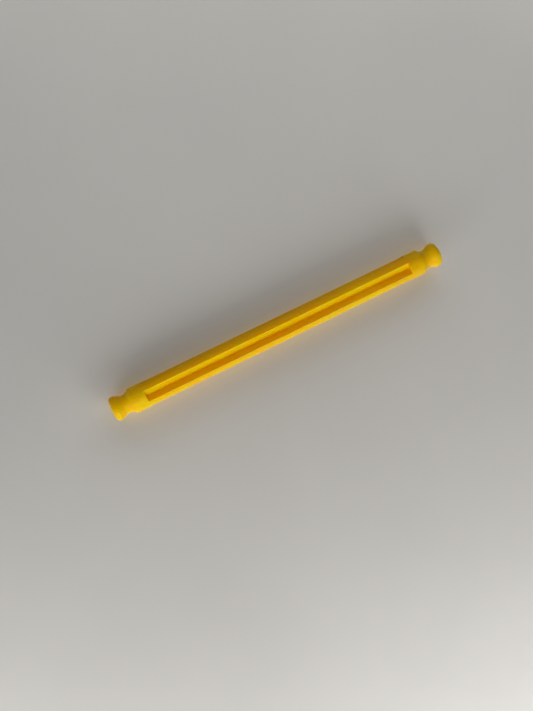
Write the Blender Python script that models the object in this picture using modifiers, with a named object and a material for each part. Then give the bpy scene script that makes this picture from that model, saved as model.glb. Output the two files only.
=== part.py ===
"""A short one-piece moulded rod of a snap-together rod-and-connector building toy.

The rod lies along X with its middle at the origin, and one of its four grooves faces straight up.
It is one injection moulding: a turned outline with a round head, a neck and a collar at each end,
and four right-angled grooves that leave four ribs between the two collars. Sizes are in metres.
"""

import math

import bmesh
import bpy
from mathutils import Matrix

# The whole rod
ROD_LENGTH = 0.0860
COLLAR_DIAMETER = 0.0062
TURN_STEPS = 32

# The head at each end, which a connector's jaws hold behind
HEAD_DIAMETER = 0.00594
HEAD_LENGTH = 0.00115
END_ROUNDING = 0.0008

# The neck between head and collar, which a connector's jaws close on
NECK_DIAMETER = 0.0045
NECK_LENGTH = 0.0004
HEAD_FLANK_LENGTH = 0.0019
COLLAR_FLANK_LENGTH = 0.00175
HEAD_SHOULDER_RADIUS = 0.0010
NECK_FILLET_RADIUS = 0.0012
COLLAR_SHOULDER_RADIUS = 0.0006

# The round collar, and the grooved stretch between the two collars
COLLAR_LENGTH = 0.0032
RIB_THICKNESS = 0.00206
GROOVE_ROOT_RADIUS = 0.0002
GROOVES = 4

# How finely the round stretches are cut
ARC_STEPS = 5
ROOT_STEPS = 3
MERGE_DISTANCE = 0.000001

YELLOW = (0.86, 0.50, 0.004, 1.0)
YELLOW_ROUGHNESS = 0.32


def arc(centre, radius, start, end, steps):
    """Points on a circle in the (station, radius) plane, from one angle to another, both included."""
    angles = [start + (end - start) * step / steps for step in range(steps + 1)]
    return [(centre[0] + radius * math.cos(a), centre[1] + radius * math.sin(a)) for a in angles]


def flank(station, high, shoulder, length, low, fillet):
    """A slope from radius high down to radius low over a length: a rounded shoulder, a straight line
    that touches both arcs, and a hollow fillet. Both roundings shrink alike where they don't fit."""
    drop = high - low
    room = (length**2 + drop**2) / (2 * drop)
    share = min(1.0, room / (shoulder + fillet))
    shoulder, fillet = shoulder * share, fillet * share
    both = shoulder + fillet
    line = math.sqrt(max(length**2 + (both - drop) ** 2 - both**2, 0.0))
    slope = math.atan2(length, both - drop) - math.atan2(line, both)
    up, down = math.pi / 2, -math.pi / 2
    rounded = arc((station, high - shoulder), shoulder, up, up - slope, ARC_STEPS)
    hollow = arc((station + length, low + fillet), fillet, down - slope, down, ARC_STEPS)
    return rounded + hollow


def end_outline():
    """The outline of one end as (distance from the end face, radius), from the axis to the collar."""
    head, neck, collar = HEAD_DIAMETER / 2, NECK_DIAMETER / 2, COLLAR_DIAMETER / 2
    neck_start = HEAD_LENGTH + HEAD_FLANK_LENGTH
    neck_end = neck_start + NECK_LENGTH
    edge = arc((END_ROUNDING, head - END_ROUNDING), END_ROUNDING, math.pi, math.pi / 2, ARC_STEPS)
    fall = flank(HEAD_LENGTH, head, HEAD_SHOULDER_RADIUS, HEAD_FLANK_LENGTH, neck, NECK_FILLET_RADIUS)
    rise = flank(0, collar, COLLAR_SHOULDER_RADIUS, COLLAR_FLANK_LENGTH, neck, NECK_FILLET_RADIUS)
    rise = [(neck_end + COLLAR_FLANK_LENGTH - station, radius) for station, radius in reversed(rise)]
    return [(0.0, 0.0)] + edge + fall + rise


def collar_start():
    """How far from the end face the collar's full diameter begins."""
    return HEAD_LENGTH + HEAD_FLANK_LENGTH + NECK_LENGTH + COLLAR_FLANK_LENGTH


def groove_length():
    """How long the grooved stretch between the two collars is."""
    return ROD_LENGTH - 2 * (collar_start() + COLLAR_LENGTH)


def new_object(name, mesh, collection):
    """An object for a mesh, in a collection."""
    made = bpy.data.objects.new(name, mesh)
    collection.objects.link(made)
    return made


def rod_plastic():
    """The rod's plastic, a glossy yellow coloured all through."""
    material = bpy.data.materials.new("yellow_plastic")
    material.use_nodes = True
    shader = material.node_tree.nodes["Principled BSDF"]
    shader.inputs["Base Color"].default_value = YELLOW
    shader.inputs["Roughness"].default_value = YELLOW_ROUGHNESS
    shader.inputs["Metallic"].default_value = 0.0
    return material


def turned_blank(collection):
    """The rod before its grooves: both end outlines turned round X. Its flats touch the true circles,
    and one of them faces straight down, so that the rod lies still on it."""
    across_corners = 1 / math.cos(math.pi / TURN_STEPS)
    end = [(ROD_LENGTH / 2 - station, radius * across_corners) for station, radius in end_outline()]
    outline = end + [(-station, radius) for station, radius in reversed(end)]
    mesh = bpy.data.meshes.new("rod")
    corners = [(radius, 0.0, station) for station, radius in outline]
    edges = [(number, number + 1) for number in range(len(corners) - 1)]
    mesh.from_pydata(corners, edges, [])
    blank = new_object("rod", mesh, collection)
    half_step = Matrix.Rotation(math.pi / TURN_STEPS, 4, "Z")
    blank.matrix_world = Matrix.Rotation(math.pi / 2, 4, "Y") @ half_step
    turn = blank.modifiers.new("turn", "SCREW")
    turn.axis = "Z"
    turn.steps = TURN_STEPS
    turn.render_steps = TURN_STEPS
    turn.use_merge_vertices = True
    turn.merge_threshold = MERGE_DISTANCE
    return blank


def groove_cutter(number, collection):
    """A square bar whose inner edge is the root of one groove, turned to its place round the axis."""
    side = COLLAR_DIAMETER
    root = RIB_THICKNESS / math.sqrt(2)
    shape = bmesh.new()
    bmesh.ops.create_cube(shape, size=1.0)
    bmesh.ops.scale(shape, vec=(groove_length(), side, side), verts=shape.verts)
    bmesh.ops.translate(shape, vec=(0.0, side / 2, side / 2), verts=shape.verts)
    inner = [edge for edge in shape.edges if all(abs(v.co.y) + abs(v.co.z) < side / 4 for v in edge.verts)]
    bmesh.ops.bevel(
        shape,
        geom=inner,
        offset=GROOVE_ROOT_RADIUS,
        segments=ROOT_STEPS,
        profile=0.5,
        affect="EDGES",
    )
    upright = Matrix.Rotation(math.pi / 4, 4, "X")
    turned = Matrix.Rotation(2 * math.pi * number / GROOVES, 4, "X")
    bmesh.ops.transform(shape, matrix=turned @ Matrix.Translation((0, 0, root)) @ upright, verts=shape.verts)
    bmesh.ops.recalc_face_normals(shape, faces=shape.faces)
    mesh = bpy.data.meshes.new(f"groove_cutter_{number + 1}")
    shape.to_mesh(mesh)
    shape.free()
    cutter = new_object(mesh.name, mesh, collection)
    cutter.display_type = "WIRE"
    cutter.hide_render = True
    return cutter


def build():
    """Clears the scene, and makes the rod with its four grooves cut."""
    for old in list(bpy.data.objects):
        bpy.data.objects.remove(old)
    rod_collection = bpy.data.collections.new("connecting_rod")
    cutters = bpy.data.collections.new("cutters")
    for collection in (rod_collection, cutters):
        bpy.context.scene.collection.children.link(collection)
    rod = turned_blank(rod_collection)
    rod.data.materials.append(rod_plastic())
    for number in range(GROOVES):
        cut = rod.modifiers.new(f"groove_{number + 1}", "BOOLEAN")
        cut.operation = "DIFFERENCE"
        cut.solver = "EXACT"
        cut.object = groove_cutter(number, cutters)
    shading = rod.modifiers.new("even_shading", "WEIGHTED_NORMAL")
    shading.keep_sharp = True


build()
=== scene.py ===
"""The looks of a yellow connecting rod of a snap-together building toy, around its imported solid."""

import math

import bpy
import numpy as np
from mathutils import Matrix, Vector


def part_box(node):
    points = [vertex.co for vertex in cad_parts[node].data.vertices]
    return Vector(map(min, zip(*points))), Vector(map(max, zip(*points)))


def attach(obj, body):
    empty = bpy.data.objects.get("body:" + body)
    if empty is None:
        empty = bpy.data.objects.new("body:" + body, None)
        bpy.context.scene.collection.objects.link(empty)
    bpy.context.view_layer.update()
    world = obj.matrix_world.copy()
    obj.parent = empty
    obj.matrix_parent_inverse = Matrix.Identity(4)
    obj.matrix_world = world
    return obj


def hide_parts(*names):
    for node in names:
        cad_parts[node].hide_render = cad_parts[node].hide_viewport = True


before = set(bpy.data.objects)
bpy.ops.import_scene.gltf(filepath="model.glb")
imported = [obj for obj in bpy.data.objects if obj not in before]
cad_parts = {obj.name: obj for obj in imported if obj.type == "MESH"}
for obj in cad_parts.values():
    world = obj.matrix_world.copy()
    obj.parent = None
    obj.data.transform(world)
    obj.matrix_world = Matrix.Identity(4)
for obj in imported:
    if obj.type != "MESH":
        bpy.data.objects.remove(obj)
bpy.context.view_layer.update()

# The camera looks down on the lying rod from a hand's breadth above it, a little past upright and
# a little towards one end, so that one groove faces it and the rod climbs to the right.
MM = 0.001
CAMERA_PLACE = Vector((-23.34, 31.34, 169.02)) * MM
CAMERA_AIM = Vector((-5.26, -4.29, -0.04)) * MM
CAMERA_TURN = math.radians(24.71)
CAMERA_LENS = 37.0
SENSOR_SIDE = 36.0
NEAREST_SEEN = 1 * MM
FARTHEST_SEEN = 10.0


def upright_look(place, aim, turn):
    """The camera's matrix: it looks from place to aim with +Y upwards, then turns about its own line of
    sight, so that what lies along +X climbs to the right by that angle."""
    back = (place - aim).normalized()
    up = (Vector((0, 1, 0)) - back * back.y).normalized()
    side = up.cross(back)
    rotation = Matrix((side, up, back)).transposed().to_4x4()
    return Matrix.Translation(place) @ rotation @ Matrix.Rotation(-turn, 4, "Z")


camera_data = bpy.data.cameras.new("camera")
camera_data.lens = CAMERA_LENS
camera_data.sensor_width = SENSOR_SIDE
camera_data.clip_start = NEAREST_SEEN
camera_data.clip_end = FARTHEST_SEEN
camera = bpy.data.objects.new("camera", camera_data)
camera.matrix_world = upright_look(CAMERA_PLACE, CAMERA_AIM, CAMERA_TURN)
bpy.context.scene.collection.objects.link(camera)
bpy.context.scene.camera = camera

# The table top is a smooth board painted a pale warm grey, which the rod lies on. It is much wider
# than the view. The paint dried a little cloudy, with a fine orange-peel skin and a few grains of dust.
TABLE_SIDE = 6.0
PAINT_PALE = (0.84, 0.815, 0.766, 1.0)
PAINT_GREY = (0.80, 0.776, 0.73, 1.0)
DUST_COLOUR = (0.25, 0.22, 0.18, 1.0)
PAINT_SHINY = 0.5
PAINT_DULL = 0.62
CLOUD_DETAIL = 3.0
CLOUD_SCALE = 16.0
CLOUD_LOW = 0.35
CLOUD_HIGH = 0.65
PEEL_SCALE = 420.0
PEEL_LOW = 0.3
PEEL_HIGH = 0.7
PEEL_HEIGHT = 0.02 * MM
DUST_SPACING = 24 * MM
DUST_RADIUS = 0.22 * MM
DUST_SHARE = 0.3


def add_node(tree, kind, inputs, **settings):
    """One shader node with its settings. A socket's entry is a plain value, or the output linked to it."""
    made = tree.nodes.new(kind)
    for name, value in settings.items():
        setattr(made, name, value)
    for socket, value in inputs.items():
        if isinstance(value, bpy.types.NodeSocket):
            tree.links.new(value, made.inputs[socket])
        else:
            made.inputs[socket].default_value = value
    return made


def cloud(tree, place, scale):
    """Smooth noise from 0 to 1 whose lumps are about 1 / scale metres wide."""
    noise = {"Vector": place, "Scale": scale, "Detail": CLOUD_DETAIL}
    return add_node(tree, "ShaderNodeTexNoise", noise).outputs["Fac"]


def between(tree, value, low, high, to_low=0.0, to_high=1.0):
    """A value's range from low to high, stretched to run from to_low to to_high and held there outside."""
    spread = {"Value": value, "From Min": low, "From Max": high, "To Min": to_low, "To Max": to_high}
    return add_node(tree, "ShaderNodeMapRange", spread).outputs["Result"]


def calculate(tree, operation, first, second):
    """One sum of two values, such as MULTIPLY or LESS_THAN."""
    return add_node(tree, "ShaderNodeMath", {0: first, 1: second}, operation=operation).outputs["Value"]


def mix_colours(tree, share, first, second):
    """The first colour where the share is 0, the second where it is 1."""
    colours = {0: share, 6: first, 7: second}
    return add_node(tree, "ShaderNodeMix", colours, data_type="RGBA").outputs[2]


def relief(tree, height, distance):
    """A surface's shading normal, tilted as if it stood up by the distance where the height is 1."""
    return add_node(tree, "ShaderNodeBump", {"Height": height, "Distance": distance}).outputs["Normal"]


def new_material(name):
    """A material with its node tree, the Principled shader in it and the place on the piece in metres."""
    material = bpy.data.materials.new(name)
    material.use_nodes = True
    tree = material.node_tree
    place = add_node(tree, "ShaderNodeTexCoord", {}).outputs["Object"]
    return material, tree, tree.nodes["Principled BSDF"], place


rod_low, rod_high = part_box("rod")
corner = TABLE_SIDE / 2
table_corners = [(-corner, -corner), (corner, -corner), (corner, corner), (-corner, corner)]
table_mesh = bpy.data.meshes.new("table")
table_mesh.from_pydata([(x, y, rod_low.z) for x, y in table_corners], [], [(0, 1, 2, 3)])
table = bpy.data.objects.new("table", table_mesh)
bpy.context.scene.collection.objects.link(table)

table_paint, tree, shader, place = new_material("table_paint")
clouds = between(tree, cloud(tree, place, CLOUD_SCALE), CLOUD_LOW, CLOUD_HIGH)
paint = mix_colours(tree, clouds, PAINT_PALE, PAINT_GREY)
dust = add_node(tree, "ShaderNodeTexVoronoi", {"Vector": place, "Scale": 1 / DUST_SPACING})
grain = calculate(tree, "LESS_THAN", dust.outputs["Distance"], DUST_RADIUS / DUST_SPACING)
kept = calculate(tree, "LESS_THAN", dust.outputs["Color"], DUST_SHARE)
paint = mix_colours(tree, calculate(tree, "MULTIPLY", grain, kept), paint, DUST_COLOUR)
peel = cloud(tree, place, PEEL_SCALE)
dullness = between(tree, peel, PEEL_LOW, PEEL_HIGH, PAINT_SHINY, PAINT_DULL)
tree.links.new(paint, shader.inputs["Base Color"])
tree.links.new(dullness, shader.inputs["Roughness"])
tree.links.new(relief(tree, peel, PEEL_HEIGHT), shader.inputs["Normal"])
table_mesh.materials.append(table_paint)

# The rod is one injection moulding in solid-coloured yellow plastic: a round head, neck and collar at
# each end, and four ribs between the collars, left by four square-cornered grooves. Its edges are
# softened by the mould, and a hair-thin parting line runs along two opposite ribs.
ROD_HALF = (rod_high.x - rod_low.x) / 2
COLLAR_RADIUS = (rod_high.z - rod_low.z) / 2
HEAD_RADIUS = 2.97 * MM
NECK_RADIUS = 2.25 * MM
HEAD_LENGTH = 1.15 * MM
END_ROUNDING = 0.8 * MM
HEAD_FLANK = 1.9 * MM
NECK_LENGTH = 0.4 * MM
COLLAR_FLANK = 1.75 * MM
COLLAR_LENGTH = 3.2 * MM
HEAD_SHOULDER = 1.0 * MM
NECK_FILLET = 1.2 * MM
COLLAR_SHOULDER = 0.6 * MM
RIB_HALF = 1.03 * MM
RIB_CORNER = 0.12 * MM
GROOVE_ROOT = 0.2 * MM
GROOVE_END_EDGE = 0.12 * MM
GROOVE_END_DRAFT = 0.05 * MM
PARTING_HEIGHT = 0.018 * MM
PARTING_WIDTH = 0.05 * MM
ARC_POINTS = 10
CORNER_POINTS = 6
FACE_ROWS = 5
COLLAR_ROWS = 8
BODY_ROWS = 60
COLUMN_CROWDING = 1.6
YELLOW_BRIGHT = (0.94, 0.6, 0.0, 1.0)
YELLOW_DEEP = (0.91, 0.545, 0.0, 1.0)
YELLOW_WORN = (0.97, 0.68, 0.05, 1.0)
# Painted shade: the deeper orange mixed into the yellow at the groove roots.
YELLOW_PAINTED_SHADE = (0.88, 0.42, 0.0, 1.0)
DRIFT_SCALE = 70.0
PAINTED_SHADE_FROM = 0.75
PAINTED_SHADE_SHARE = 0.5
OUTSIDE_DEPTH = 0.3
EDGE_WEAR_WIDTH = 0.12 * MM
RUB_SCALE = 650.0
RUB_LOW = 0.42
RUB_HIGH = 0.6
SCUFF_SCALE = 3000.0
SCUFF_STRETCH = 0.06
SCUFF_LOW = 0.56
SCUFF_HIGH = 0.66
SCUFF_SHARE = 0.5
WEAR_SHARE = 0.5
STREAK_LOW = 0.3
STREAK_HIGH = 0.7
POLISHED = 0.33
DULL = 0.43
WEAR_DULLNESS = 0.12
SKIN_SCALE = 4000.0
SKIN_HEIGHT = 0.03 * MM
STREAK_RELIEF = 0.5
SHINE = 0.23
SHINE_TINT = (1.0, 0.85, 0.2, 1.0)
GLOW_SHARE = 0.8
GLOW_DEPTH = 2.5 * MM
GLOW_REACH = (1.0, 0.11, 0.015)


def arc(centre_along, centre_out, radius, start, end, count):
    """Points on a circle: centre + radius * (cos, sin) of evenly spaced angles, as two arrays."""
    angle = np.linspace(start, end, count)
    return np.array([centre_along + radius * np.cos(angle), centre_out + radius * np.sin(angle)])


def flank(along, high, shoulder, length, low, fillet):
    """A slope from radius high to radius low over a length, as two arrays. A round shoulder and a hollow
    fillet touch one straight line: with s their radii's sum and d the drop, that line is
    sqrt(length^2 + (s - d)^2 - s^2) long."""
    total = shoulder + fillet
    drop = high - low
    line = math.sqrt(length**2 + (total - drop) ** 2 - total**2)
    slope = math.atan2(length, total - drop) - math.atan2(line, total)
    up, down = math.pi / 2, -math.pi / 2
    rounded = arc(along, high - shoulder, shoulder, up, up - slope, ARC_POINTS)
    hollow = arc(along + length, low + fillet, fillet, down - slope, down, ARC_POINTS)
    return np.hstack([rounded, hollow])


def end_outline():
    """The turned outline from one end face to its groove end, as distance from the face and radius:
    the flat face in even rings, a quarter-round rim, the head, a slope to the neck, a slope to the
    collar, and the collar in even rings."""
    rim_middle = HEAD_RADIUS - END_ROUNDING
    rings = np.arange(1, FACE_ROWS + 1) / (FACE_ROWS + 0.5)
    face = np.array([np.zeros(FACE_ROWS), rings * rim_middle])
    rim = arc(END_ROUNDING, rim_middle, END_ROUNDING, math.pi, math.pi / 2, ARC_POINTS)
    fall = flank(HEAD_LENGTH, HEAD_RADIUS, HEAD_SHOULDER, HEAD_FLANK, NECK_RADIUS, NECK_FILLET)
    rise = flank(0.0, COLLAR_RADIUS, COLLAR_SHOULDER, COLLAR_FLANK, NECK_RADIUS, NECK_FILLET)
    collar_at = HEAD_LENGTH + HEAD_FLANK + NECK_LENGTH + COLLAR_FLANK
    rise = np.array([collar_at - rise[0, ::-1], rise[1, ::-1]])
    steps = np.arange(1, COLLAR_ROWS + 1) / (COLLAR_ROWS + 0.5)
    collar = np.array([collar_at + steps * COLLAR_LENGTH, np.full(COLLAR_ROWS, COLLAR_RADIUS)])
    return np.hstack([face, rim, fall, rise, collar]), collar_at + COLLAR_LENGTH


def groove_end(wall_at, depth):
    """The way down into a groove at its end, as distance from the end face and share of the depth from
    0 to 1: a rounded edge, a wall that leans by the mould's draft, and a rounded foot."""
    quarter = math.pi / 2
    edge_at = wall_at - GROOVE_END_EDGE
    edge = arc(edge_at, -GROOVE_END_EDGE, GROOVE_END_EDGE, quarter, 0, CORNER_POINTS)
    foot_at = wall_at + GROOVE_END_DRAFT + GROOVE_ROOT
    foot = arc(foot_at, GROOVE_ROOT - depth, GROOVE_ROOT, 2 * quarter, 3 * quarter, CORNER_POINTS)
    along, out = np.hstack([edge, foot])
    return np.array([along, -out / depth])


def rib_section():
    """The grooved cross-section as polar angle from a groove's middle and radius, once round.
    An eighth runs from the groove's root, along its wall, round the rib's corner to the rib's middle,
    where the columns crowd together; it is mirrored about the rib and repeated for each groove."""
    root_at = RIB_HALF + GROOVE_ROOT
    root = arc(root_at, root_at, GROOVE_ROOT, 1.25 * math.pi, 1.5 * math.pi, CORNER_POINTS)
    corner_at = RIB_HALF - RIB_CORNER
    corner_out = math.sqrt((COLLAR_RADIUS - RIB_CORNER) ** 2 - corner_at**2)
    corner_turn = math.atan2(corner_at, corner_out)
    wall_out = np.linspace(root_at, corner_out, ARC_POINTS)[1:-1]
    wall = np.array([wall_out, np.full(len(wall_out), RIB_HALF)])
    corner = arc(corner_out, corner_at, RIB_CORNER, math.pi / 2, corner_turn, CORNER_POINTS)
    outside_turn = corner_turn * np.linspace(1, 0, ARC_POINTS)[1:] ** COLUMN_CROWDING
    outside = COLLAR_RADIUS * np.array([np.cos(outside_turn), np.sin(outside_turn)])
    out, aside = np.hstack([root, wall, corner, outside])
    turn, radius = math.pi / 4 - np.arctan2(aside, out), np.hypot(out, aside)
    turn = np.hstack([turn, math.pi / 2 - turn[-2:0:-1]])
    radius = np.hstack([radius, radius[-2:0:-1]])
    quarters = np.arange(4)[:, None] * math.pi / 2
    return (turn + quarters).ravel(), np.tile(radius, 4)


def rod_surface():
    """The rod's points on a grid of rows along it and columns round it, and two fields on them.
    radius = outline(row) - share(row) * (collar radius - section(column)), where share is 0 on the
    round ends and 1 along the grooves; a narrow bell curve raises the parting line on two ribs.
    depth is 0 on the outside and 1 at a groove's root. edge is a bell curve over the distance to a
    rib's long outer edges, which is the difference in angle times the radius."""
    turn, section = rib_section()
    outline, wall_at = end_outline()
    deepest = COLLAR_RADIUS - section.min()
    step = groove_end(wall_at, deepest)
    along_end = np.hstack([outline[0], step[0]])
    outline_end = np.hstack([outline[1], np.full(step.shape[1], COLLAR_RADIUS)])
    share_end = np.hstack([np.zeros(outline.shape[1]), step[1]])
    middle = np.linspace(along_end[-1] - ROD_HALF, ROD_HALF - along_end[-1], BODY_ROWS)[1:-1]
    along = np.hstack([along_end - ROD_HALF, middle, ROD_HALF - along_end[::-1]])
    outline_row = np.hstack([outline_end, np.full(len(middle), COLLAR_RADIUS), outline_end[::-1]])
    share = np.hstack([share_end, np.ones(len(middle)), share_end[::-1]])
    sunk = share[:, None] * (COLLAR_RADIUS - section)[None, :]
    radius = outline_row[:, None] - sunk
    depth = np.clip(sunk / deepest, 0, 1)
    off_line = (turn - math.pi / 4 + math.pi / 2) % math.pi - math.pi / 2
    line = PARTING_HEIGHT * np.exp(-((off_line[None, :] * radius / PARTING_WIDTH) ** 2))
    off_rib = (turn + math.pi / 4) % (math.pi / 2)
    off_rib = np.minimum(off_rib, math.pi / 2 - off_rib)
    from_edge = np.abs(off_rib - math.asin(RIB_HALF / COLLAR_RADIUS))[None, :] * radius
    on_rib = (share[:, None] > 0.5) & (depth < OUTSIDE_DEPTH)
    edge = np.exp(-((from_edge / EDGE_WEAR_WIDTH) ** 2)) * on_rib
    along = np.broadcast_to(along[:, None], radius.shape)
    lifted = radius + line
    return np.stack([along, lifted * np.sin(turn), lifted * np.cos(turn)], axis=-1), depth, edge


def closed_tube(name, points):
    """A mesh from a grid of points whose columns close round and whose end rows each close on their
    own middle point: square faces between neighbouring rows, and a fan of triangles at each end."""
    rows, columns = points.shape[:2]
    middles = np.array([points[0].mean(axis=0), points[-1].mean(axis=0)])
    vertices = np.vstack([points.reshape(-1, 3), middles])
    here = np.arange(columns)
    after = (here + 1) % columns
    start = np.arange(rows - 1)[:, None] * columns
    ring = start + columns
    quads = np.stack([start + here, ring + here, ring + after, start + after], axis=-1)
    last_row = (rows - 1) * columns
    left = np.stack([np.full(columns, rows * columns), here, after], axis=-1)
    right = [np.full(columns, rows * columns + 1), last_row + after, last_row + here]
    corners = np.hstack([quads.ravel(), left.ravel(), np.stack(right, axis=-1).ravel()])
    sizes = np.hstack([np.full(quads.size // 4, 4), np.full(2 * columns, 3)])
    mesh = bpy.data.meshes.new(name)
    mesh.vertices.add(len(vertices))
    mesh.vertices.foreach_set("co", vertices.astype(np.float32).ravel())
    mesh.loops.add(len(corners))
    mesh.loops.foreach_set("vertex_index", corners.astype(np.int32))
    mesh.polygons.add(len(sizes))
    starts = np.hstack([0, np.cumsum(sizes)[:-1]]).astype(np.int32)
    mesh.polygons.foreach_set("loop_start", starts)
    mesh.update(calc_edges=True)
    mesh.shade_smooth()
    return mesh


rod_points, depth, edge = rod_surface()
rod_mesh = closed_tube("moulded_rod", rod_points)
for label, values in (("depth", depth), ("edge", edge)):
    field = np.hstack([values.ravel(), 0, 0]).astype(np.float32)
    rod_mesh.attributes.new(label, "FLOAT", "POINT").data.foreach_set("value", field)
rod = bpy.data.objects.new("moulded_rod", rod_mesh)
bpy.context.scene.collection.objects.link(rod)

yellow_plastic, tree, shader, place = new_material("yellow_plastic")
drift = between(tree, cloud(tree, place, DRIFT_SCALE), CLOUD_LOW, CLOUD_HIGH)
yellow = mix_colours(tree, drift, YELLOW_DEEP, YELLOW_BRIGHT)
# Painted shade: from three quarters of a groove's depth down to its root, the yellow is mixed halfway
# towards a deeper orange, standing in for the shade in the groove's hollow.
deep = add_node(tree, "ShaderNodeAttribute", {}, attribute_name="depth").outputs["Fac"]
painted_groove_shade = between(tree, deep, PAINTED_SHADE_FROM, 1.0, 0.0, PAINTED_SHADE_SHARE)
yellow = mix_colours(tree, painted_groove_shade, yellow, YELLOW_PAINTED_SHADE)
near_edge = add_node(tree, "ShaderNodeAttribute", {}, attribute_name="edge").outputs["Fac"]
patches = between(tree, cloud(tree, place, RUB_SCALE), RUB_LOW, RUB_HIGH)
rubbed = calculate(tree, "MULTIPLY", near_edge, patches)
stretched = {"Vector": place, "Scale": (SCUFF_STRETCH, 1.0, 1.0)}
lengthwise = add_node(tree, "ShaderNodeMapping", stretched).outputs["Vector"]
streaks = cloud(tree, lengthwise, SCUFF_SCALE)
outside = between(tree, deep, 0.0, OUTSIDE_DEPTH, SCUFF_SHARE, 0.0)
scuffed = calculate(tree, "MULTIPLY", outside, between(tree, streaks, SCUFF_LOW, SCUFF_HIGH))
worn = calculate(tree, "MAXIMUM", rubbed, scuffed)
yellow = mix_colours(tree, calculate(tree, "MULTIPLY", worn, WEAR_SHARE), yellow, YELLOW_WORN)
polish = between(tree, streaks, STREAK_LOW, STREAK_HIGH, POLISHED, DULL)
dullness = calculate(tree, "ADD", polish, calculate(tree, "MULTIPLY", worn, WEAR_DULLNESS))
skin = cloud(tree, place, SKIN_SCALE)
height = calculate(tree, "ADD", skin, calculate(tree, "MULTIPLY", streaks, STREAK_RELIEF))
tree.links.new(yellow, shader.inputs["Base Color"])
tree.links.new(dullness, shader.inputs["Roughness"])
tree.links.new(relief(tree, height, SKIN_HEIGHT), shader.inputs["Normal"])
shader.inputs["Specular IOR Level"].default_value = SHINE
shader.inputs["Specular Tint"].default_value = SHINE_TINT
shader.inputs["Subsurface Weight"].default_value = GLOW_SHARE
shader.inputs["Subsurface Radius"].default_value = GLOW_REACH
shader.inputs["Subsurface Scale"].default_value = GLOW_DEPTH
rod_mesh.materials.append(yellow_plastic)

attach(rod, "root")
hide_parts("rod")

# The light is a plain soft studio set in a pale room: two lamps low on the near side, one towards each
# end of the rod. Four lamps fill in the rod alone, one from under the table's level, and a wash and
# a back lamp the table alone, so that the rod glows through while its shadow stays long and soft.
SOFTBOX_SIZE = (150 * MM, 120 * MM)
LEFT_PLACE = (-209 * MM, -99 * MM, 62 * MM)
LEFT_SIZE = (130 * MM, 110 * MM)
LEFT_POWER = 0.09
RIGHT_PLACE = (53 * MM, -213 * MM, 98 * MM)
RIGHT_POWER = 0.135
KEY_PLACE = (-71 * MM, -144 * MM, 178 * MM)
KEY_POWER = 0.22
OVERHEAD_PLACE = (-75 * MM, -154 * MM, 470 * MM)
OVERHEAD_SIZE = (250 * MM, 250 * MM)
OVERHEAD_POWER = 0.3
UNDER_PLACE = (-71 * MM, -144 * MM, -178 * MM)
UNDER_POWER = 0.23
FAR_PLACE = (71 * MM, 144 * MM, 20 * MM)
FAR_POWER = 0.03
WASH_PLACE = (-83 * MM, -171 * MM, 62 * MM)
WASH_SIZE = (400 * MM, 80 * MM)
WASH_POWER = 0.17
BACK_PLACE = (98 * MM, 200 * MM, 90 * MM)
BACK_SIZE = (420 * MM, 110 * MM)
BACK_POWER = 0.3
ROOM_COLOUR = (1.0, 1.0, 1.0, 1.0)
ROOM_STRENGTH = 0.14


def softbox(name, place, size, power, lights=None):
    """A flat white lamp of a width and height, turned to shine at the middle of the rod. It lights
    everything, or only the one object that is given."""
    data = bpy.data.lights.new(name, "AREA")
    data.shape = "RECTANGLE"
    data.size, data.size_y = size
    data.energy = power
    lamp = bpy.data.objects.new(name, data)
    lamp.location = place
    lamp.rotation_mode = "QUATERNION"
    lamp.rotation_quaternion = Vector(place).to_track_quat("Z", "Y")
    bpy.context.scene.collection.objects.link(lamp)
    if lights is not None:
        lit = bpy.data.collections.new(name + "_lights")
        lit.objects.link(lights)
        lamp.light_linking.receiver_collection = lit
    return lamp


softbox("left_lamp", LEFT_PLACE, LEFT_SIZE, LEFT_POWER)
softbox("right_lamp", RIGHT_PLACE, SOFTBOX_SIZE, RIGHT_POWER)
softbox("key_lamp", KEY_PLACE, SOFTBOX_SIZE, KEY_POWER, rod)
softbox("overhead_lamp", OVERHEAD_PLACE, OVERHEAD_SIZE, OVERHEAD_POWER, rod)
softbox("wash_lamp", WASH_PLACE, WASH_SIZE, WASH_POWER, table)
softbox("back_lamp", BACK_PLACE, BACK_SIZE, BACK_POWER, table)
under_lamp = softbox("under_lamp", UNDER_PLACE, SOFTBOX_SIZE, UNDER_POWER, rod)
softbox("far_lamp", FAR_PLACE, SOFTBOX_SIZE, FAR_POWER, rod)
under_lamp.light_linking.blocker_collection = under_lamp.light_linking.receiver_collection
under_lamp.visible_glossy = False

room = bpy.data.worlds.new("room")
room.use_nodes = True
room.node_tree.nodes["Background"].inputs["Color"].default_value = ROOM_COLOUR
room.node_tree.nodes["Background"].inputs["Strength"].default_value = ROOM_STRENGTH
bpy.context.scene.world = room
bpy.context.scene.view_settings.view_transform = "Standard"
